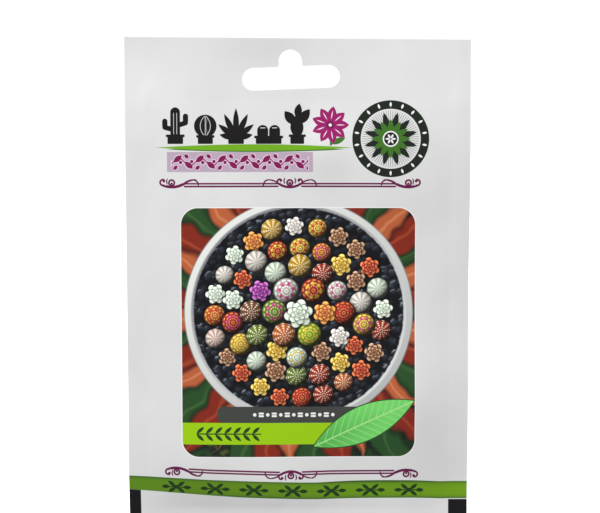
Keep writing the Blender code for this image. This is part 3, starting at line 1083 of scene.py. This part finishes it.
prints = back_header_print(), back_panel_print(), foot_print("back_foot_print")
back = printed_web("printed_back", BACK, BACK_BULGE, BACK_DENTS, prints)
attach(back, "root")
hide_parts("back_web")

# --------------------------------------------------------------------------------------------------
# The seeds: two dozen dust-fine, dry brown seeds with a pitted coat. They are poured in before the last
# seal, and lie loose in the crease above the foot seal, halfway between the webs.

SEED_SIZE = (0.64 * MM, 0.50 * MM, 0.56 * MM)
SEED_TAPER, SEED_WRINKLE, SEED_SWAY, SEED_SMALLEST = 0.18, 0.035 * MM, math.radians(35), 0.86
SEED_LUCK = 5
WRINKLES, WRINKLE_LEVEL = 3.2, 0.62
RAY_FROM, RAY_LENGTH = 20 * MM, 0.1
LIGHT_COAT, DARK_COAT_AND_PIT_SHADE = (0.300, 0.165, 0.078), (0.085, 0.040, 0.018)
COAT_ROUGHNESS, PATCH_ROUGHNESS, PATCH_LENGTH = 0.62, 0.25, 0.30 * MM
PIT_LENGTH, PIT_DEPTH = 0.085 * MM, 0.012 * MM


def sowing_tree():
    """Puts a seed on each point, level with it but midway between the webs in front of it and behind it."""
    sizes = dict.fromkeys(("Taper", "Wrinkle", "Sway", "Smallest"), "Float")
    inputs = {"Geometry": "Geometry", "Front": "Object", "Back": "Object", "Size": "Vector", **sizes,
              "Luck": "Int", "Surface": "Material"}
    b = new_group("sow_the_seeds", "GeometryNodeTree", inputs, {"Geometry": "Geometry"})
    given = b.node("NodeGroupInput")
    place = b.node("GeometryNodeInputPosition")
    x = place.x()
    depths = []
    for web, side in (("Front", FRONT), ("Back", BACK)):
        sheet = b.node("GeometryNodeObjectInfo", None, {"Object": given.of(web)}, "Geometry")
        outside = b.point(x, side * RAY_FROM, x.of("Z"))
        sockets = {"Target Geometry": sheet, "Source Position": outside, "Ray Direction": (0, -side, 0),
                   "Ray Length": RAY_LENGTH}
        depths.append(b.node("GeometryNodeRaycast", None, sockets, "Hit Position").x().of("Y"))
    midway = b.point(x, (depths[0] + depths[1]) / 2, x.of("Z"))
    points = b.node("GeometryNodeSetPosition", None, {"Geometry": given, "Position": midway})

    ball = b.node("GeometryNodeMeshIcoSphere", None, {"Radius": 0.5, "Subdivisions": 3})
    along = place.x()
    egg = place.vector("MULTIPLY", given.of("Size")).scaled(1 + given.of("Taper") * along * 2)
    sockets = {"Vector": place, "Scale": WRINKLES, "Detail": 1.0}
    folds = b.node("ShaderNodeTexNoise", {"noise_dimensions": "3D"}, sockets)
    folds = place.vector("NORMALIZE").scaled((folds - WRINKLE_LEVEL) * given.of("Wrinkle") * 2)
    seed = b.node("GeometryNodeSetPosition", None, {"Geometry": ball, "Position": egg.vector("ADD", folds)})
    seed = b.node("GeometryNodeSetShadeSmooth", None, {0: seed})

    def luck(low, high, draw):
        sockets = {"Min_001": low, "Max_001": high, "Seed": given.of("Luck") + draw}
        return b.node("FunctionNodeRandomValue", {"data_type": "FLOAT"}, sockets, "Value_001")

    turn = b.point(y=luck(-given.of("Sway"), given.of("Sway"), 1))
    size = luck(given.of("Smallest"), 1.0, 2)
    sockets = {"Points": points, "Instance": seed, "Rotation": turn, "Scale": size}
    sown = b.node("GeometryNodeInstanceOnPoints", None, sockets)
    return surfaced(b, sown, given.of("Surface"))


def seed_coat():
    """A dry, dull coat in brown patches, painted darker in its pits as shade."""
    material = bpy.data.materials.new("pitted_seed_coat")
    material.use_nodes = True
    b = Bench(material.node_tree)
    place = b.node("ShaderNodeTexCoord", None, None, "Object")
    sockets = {"Vector": place, "Scale": 1 / PATCH_LENGTH, "Detail": 3.0}
    patches = b.node("ShaderNodeTexNoise", None, sockets)
    pits = b.node("ShaderNodeTexVoronoi", None, {"Vector": place, "Scale": 1 / PIT_LENGTH})
    raised = (pits * 1.5).clamped()
    # The coat's brown varies in patches, and is painted darker in its pits: painted shade.
    colour = b.mix(DARK_COAT_AND_PIT_SHADE, LIGHT_COAT, (raised * 0.55 + patches * 0.9 - 0.25).clamped())
    bump = b.node("ShaderNodeBump", None, {"Strength": 0.8, "Distance": 1.0, "Height": raised * PIT_DEPTH})
    rough = COAT_ROUGHNESS + PATCH_ROUGHNESS * patches
    b.fill(b.tree.nodes["Principled BSDF"], {"Base Color": colour, "Roughness": rough, "Normal": bump})
    return material


seed_nodes = sorted(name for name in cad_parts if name.startswith("seed_"))
seed_mesh = bpy.data.meshes.new("seeds")
seed_mesh.from_pydata([sum(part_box(name), Vector()) / 2 for name in seed_nodes], [], [])
seeds = add_object("seeds", seed_mesh)
run_tree(
    seeds, sowing_tree(), Front=front, Back=back, Size=SEED_SIZE, Taper=SEED_TAPER, Wrinkle=SEED_WRINKLE,
    Sway=SEED_SWAY, Smallest=SEED_SMALLEST, Luck=SEED_LUCK, Surface=seed_coat(),
)
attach(seeds, "root")
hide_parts(*seed_nodes)

# --------------------------------------------------------------------------------------------------
# The stage: a wide pale floor under the packet's foot, in a bright white room. One soft light stands at the
# upper left, so that the film is brightest near the slot and falls off towards its lower right corner. A
# second one stands behind and lights only the back.

FLOOR_RADIUS, FLOOR_CORNERS, FLOOR_GAP = 6.0, 96, 1.0 * MM
FLOOR_PAINT = {"Base Color": (0.9, 0.9, 0.9, 1), "Roughness": 0.9, "Specular IOR Level": 0.0,
               "Emission Color": (1, 1, 1, 1), "Emission Strength": 0.60}
LIGHTS = (  # Each soft light: its name, its size, its power, and where it stands from the packet's heart.
    ("key_light", 0.60, 10.2, (-0.354, -0.612, 0.843)),
    ("fill_light", 0.90, 5.0, (0.40, 0.75, 0.55)),
)
ROOM_LIGHT, ROOM_WHITER = 0.65, 0.37
SENSOR, LENS, NEAREST, FURTHEST = 36.0, 111.84, 0.05, 20
CAMERA_OUT, CAMERA_UP = 0.5953, 0.0761
CAMERA_TURN = (90 - 6.30, 0.11, -0.08)


def stage_floor():
    turns = np.linspace(0, math.tau, FLOOR_CORNERS, endpoint=False)
    verts = [(FLOOR_RADIUS * math.cos(t), FLOOR_RADIUS * math.sin(t), BOTTOM - FLOOR_GAP) for t in turns]
    mesh = bpy.data.meshes.new("stage_floor")
    mesh.from_pydata(verts, [], [range(len(verts))])
    paint = bpy.data.materials.new("stage_paint")
    paint.use_nodes = True
    Bench(paint.node_tree).fill(paint.node_tree.nodes["Principled BSDF"], FLOOR_PAINT)
    mesh.materials.append(paint)
    floor = add_object("stage_floor", mesh)
    floor.visible_diffuse = floor.visible_glossy = False
    return floor


stage_floor()

HEART = Vector((MIDDLE, 0, (TOP + BOTTOM) / 2))
for name, size, power, stand in LIGHTS:
    lamp = bpy.data.lights.new(name, "AREA")
    lamp.shape, lamp.size, lamp.energy = "DISK", size, power
    light = add_object(name, lamp)
    light.location = HEART + Vector(stand)
    light.rotation_mode = "QUATERNION"
    light.rotation_quaternion = (HEART - light.location).to_track_quat("-Z", "Y")

# The room is a little whiter where the camera sees it than it is as a light.
world = bpy.data.worlds.new("white_room")
bpy.context.scene.world = world
world.use_nodes = True
room = Bench(world.node_tree)
strength = ROOM_LIGHT + ROOM_WHITER * room.node("ShaderNodeLightPath", None, None, "Is Camera Ray")
room.fill(room.tree.nodes["Background"], {"Strength": strength, "Color": (1, 1, 1, 1)})
bpy.context.scene.view_settings.view_transform = "Standard"

# The camera stands 0.6 m off, a little above the packet's middle, and looks slightly down.
lens = bpy.data.cameras.new("camera")
lens.sensor_width, lens.lens = SENSOR, LENS
lens.clip_start, lens.clip_end = NEAREST, FURTHEST
camera = add_object("camera", lens)
camera.location = (MIDDLE, -CAMERA_OUT, HEART.z + CAMERA_UP)
camera.rotation_euler = [math.radians(turn) for turn in CAMERA_TURN]
bpy.context.scene.camera = camera
